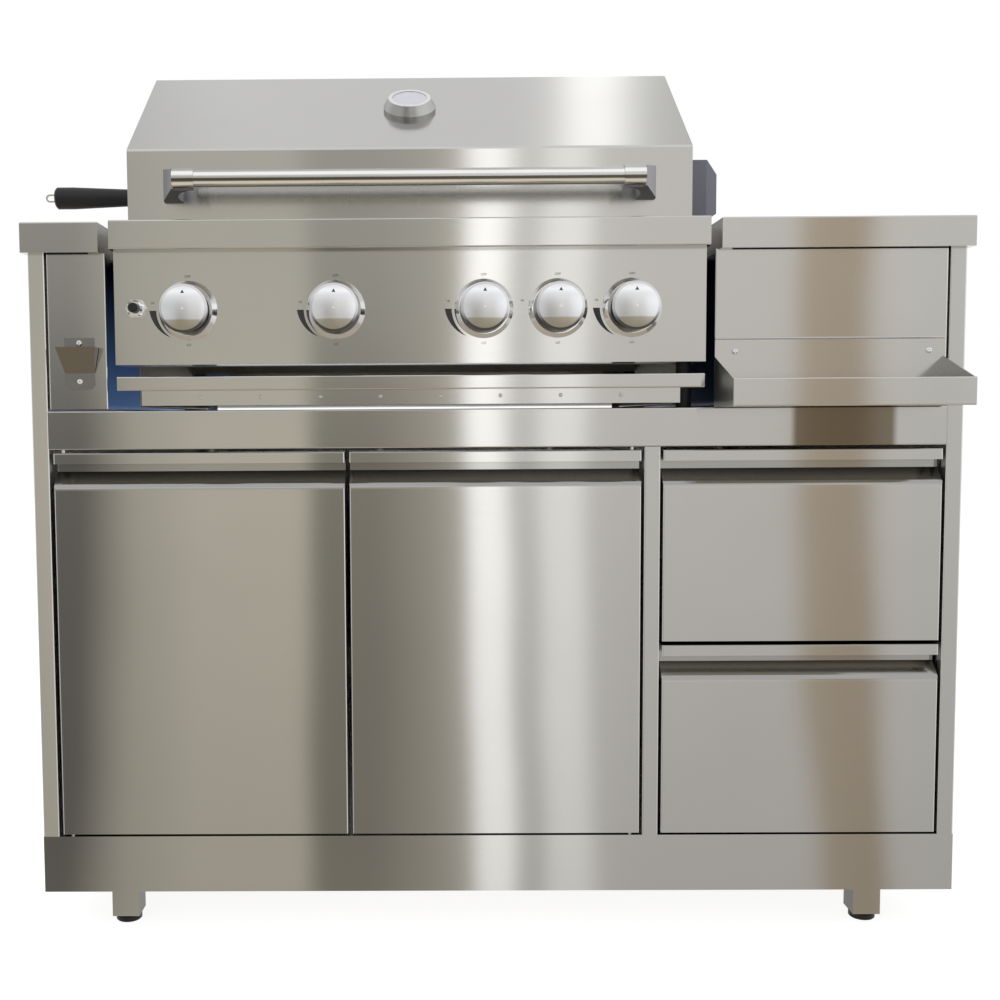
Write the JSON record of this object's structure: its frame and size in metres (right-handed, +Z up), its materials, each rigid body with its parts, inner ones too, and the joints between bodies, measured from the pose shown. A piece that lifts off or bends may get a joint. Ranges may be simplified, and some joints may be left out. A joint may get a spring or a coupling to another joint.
{
  "type": "gas grill",
  "caption": "Free-standing outdoor gas grill: hooded burner head in a stainless cabinet with doors, drawers, side counters, drip tray, rotisserie spit and tool rack.",
  "frame": {"origin": "on the floor, under the middle of the part's overall box", "axes": "+Z up, -Y towards the user in front, +X to the user's right"},
  "size_m": [1.31, 0.72, 1.223],
  "materials": {
    "stainless": "brushed",
    "heat_steel": "satin",
    "zinc_steel": "zinc plated",
    "chrome": "mirror",
    "valve_brass": "cast and machined",
    "black_plastic": "moulded",
    "motor_paint": "powder coat",
    "needle_paint": "matte",
    "lens_glass": "clear"
  },
  "bodies": {
    "cabinet": {"back_panel": "stainless", "base_pan": "stainless", "bottle_opener": "stainless", "center_divider": "stainless", "control_panel": "stainless", "cooking_grates": "heat_steel", "drawer_rails": "zinc_steel", "firebox": "heat_steel", "flame_tamers": "heat_steel", "front_rail": "stainless", "front_trim": "stainless", "gas_manifold": "zinc_steel", "gas_valves": "valve_brass", "hinge_pins": "zinc_steel", "igniter_housing": "chrome", "knob_bezels": "chrome", "left_counter": "stainless", "left_front_panel": "stainless", "left_side_panel": "stainless", "leg_posts": "stainless", "levelling_feet": "black_plastic", "main_burners": "heat_steel", "rear_burner": "heat_steel", "right_counter": "stainless", "right_front_panel": "stainless", "right_side_panel": "stainless", "rotisserie_motor": "motor_paint", "tool_rack": "stainless"},
    "lid": {"lid_shell": "stainless", "lid_liner": "heat_steel", "handle_bar": "stainless", "handle_brackets": "stainless", "gauge_housing": "stainless", "gauge_lens": "lens_glass"},
    "gauge_pointer": {"gauge_needle": "needle_paint"},
    "left_door": {"left_door_skin": "stainless", "left_door_liner": "stainless"},
    "right_door": {"right_door_skin": "stainless", "right_door_liner": "stainless"},
    "upper_drawer": {"upper_drawer_front": "stainless", "upper_drawer_box": "stainless", "upper_drawer_runners": "zinc_steel"},
    "lower_drawer": {"lower_drawer_front": "stainless", "lower_drawer_box": "stainless", "lower_drawer_runners": "zinc_steel"},
    "grease_drawer": {"drip_tray": "stainless"},
    "igniter_push": {"igniter_button": "black_plastic"},
    "spit": {"spit_rod": "heat_steel", "spit_grip": "black_plastic", "spit_forks": "heat_steel"},
    "valve_1": {"valve_plug_1": "valve_brass"},
    "control_1": {"knob_1": "chrome"},
    "valve_2": {"valve_plug_2": "valve_brass"},
    "control_2": {"knob_2": "chrome"},
    "valve_3": {"valve_plug_3": "valve_brass"},
    "control_3": {"knob_3": "chrome"},
    "valve_4": {"valve_plug_4": "valve_brass"},
    "control_4": {"knob_4": "chrome"},
    "valve_5": {"valve_plug_5": "valve_brass"},
    "control_5": {"knob_5": "chrome"}
  },
  "joints": [
    {"name": "lid_hinge", "type": "hinge", "parent": "cabinet", "child": "lid", "pos_m": [-0.091, 0.21, 1], "axis": [-1, 0, 0], "range_deg": [0, 88]},
    {"name": "gauge_turn", "type": "hinge", "parent": "lid", "child": "gauge_pointer", "pos_m": [-0.091, -0.13, 1.15187], "axis": [0, 0.5993, -0.8005], "range_deg": [0, 240]},
    {"name": "left_door_hinge", "type": "hinge", "parent": "cabinet", "child": "left_door", "pos_m": [-0.562, -0.252, 0.143], "axis": [0, 0, -1], "range_deg": [0, 90]},
    {"name": "right_door_hinge", "type": "hinge", "parent": "cabinet", "child": "right_door", "pos_m": [0.2075, -0.252, 0.143], "axis": [0, 0, 1], "range_deg": [0, 90]},
    {"name": "upper_drawer_slide", "type": "slide", "parent": "cabinet", "child": "upper_drawer", "axis": [0, -1, 0], "range_m": [0, 0.4]},
    {"name": "lower_drawer_slide", "type": "slide", "parent": "cabinet", "child": "lower_drawer", "axis": [0, -1, 0], "range_m": [0, 0.4]},
    {"name": "drip_tray_slide", "type": "slide", "parent": "cabinet", "child": "grease_drawer", "axis": [0, -1, 0], "range_m": [0, 0.38]},
    {"name": "igniter_press", "type": "slide", "parent": "cabinet", "child": "igniter_push", "axis": [0, 1, 0], "range_m": [0, 0.005], "stiffness_N_per_m": 400},
    {"name": "spit_turn", "type": "hinge", "parent": "cabinet", "child": "spit", "pos_m": [-0.091, 0, 1.055], "axis": [1, 0, 0], "continuous": true},
    {"name": "valve_1_turn", "type": "hinge", "parent": "cabinet", "child": "valve_1", "pos_m": [-0.385, -0.272, 0.8575], "axis": [0, -1, 0], "range_deg": [0, 180]},
    {"name": "knob_1_push", "type": "slide", "parent": "valve_1", "child": "control_1", "axis": [0, 1, 0], "range_m": [0, 0.004], "stiffness_N_per_m": 500},
    {"name": "valve_2_turn", "type": "hinge", "parent": "cabinet", "child": "valve_2", "pos_m": [-0.189, -0.272, 0.8575], "axis": [0, -1, 0], "range_deg": [0, 180]},
    {"name": "knob_2_push", "type": "slide", "parent": "valve_2", "child": "control_2", "axis": [0, 1, 0], "range_m": [0, 0.004], "stiffness_N_per_m": 500},
    {"name": "valve_3_turn", "type": "hinge", "parent": "cabinet", "child": "valve_3", "pos_m": [0.007, -0.272, 0.8575], "axis": [0, -1, 0], "range_deg": [0, 180]},
    {"name": "knob_3_push", "type": "slide", "parent": "valve_3", "child": "control_3", "axis": [0, 1, 0], "range_m": [0, 0.004], "stiffness_N_per_m": 500},
    {"name": "valve_4_turn", "type": "hinge", "parent": "cabinet", "child": "valve_4", "pos_m": [0.105, -0.272, 0.8575], "axis": [0, -1, 0], "range_deg": [0, 180]},
    {"name": "knob_4_push", "type": "slide", "parent": "valve_4", "child": "control_4", "axis": [0, 1, 0], "range_m": [0, 0.004], "stiffness_N_per_m": 500},
    {"name": "valve_5_turn", "type": "hinge", "parent": "cabinet", "child": "valve_5", "pos_m": [0.203, -0.272, 0.8575], "axis": [0, -1, 0], "range_deg": [0, 180]},
    {"name": "knob_5_push", "type": "slide", "parent": "valve_5", "child": "control_5", "axis": [0, 1, 0], "range_m": [0, 0.004], "stiffness_N_per_m": 500}
  ]
}
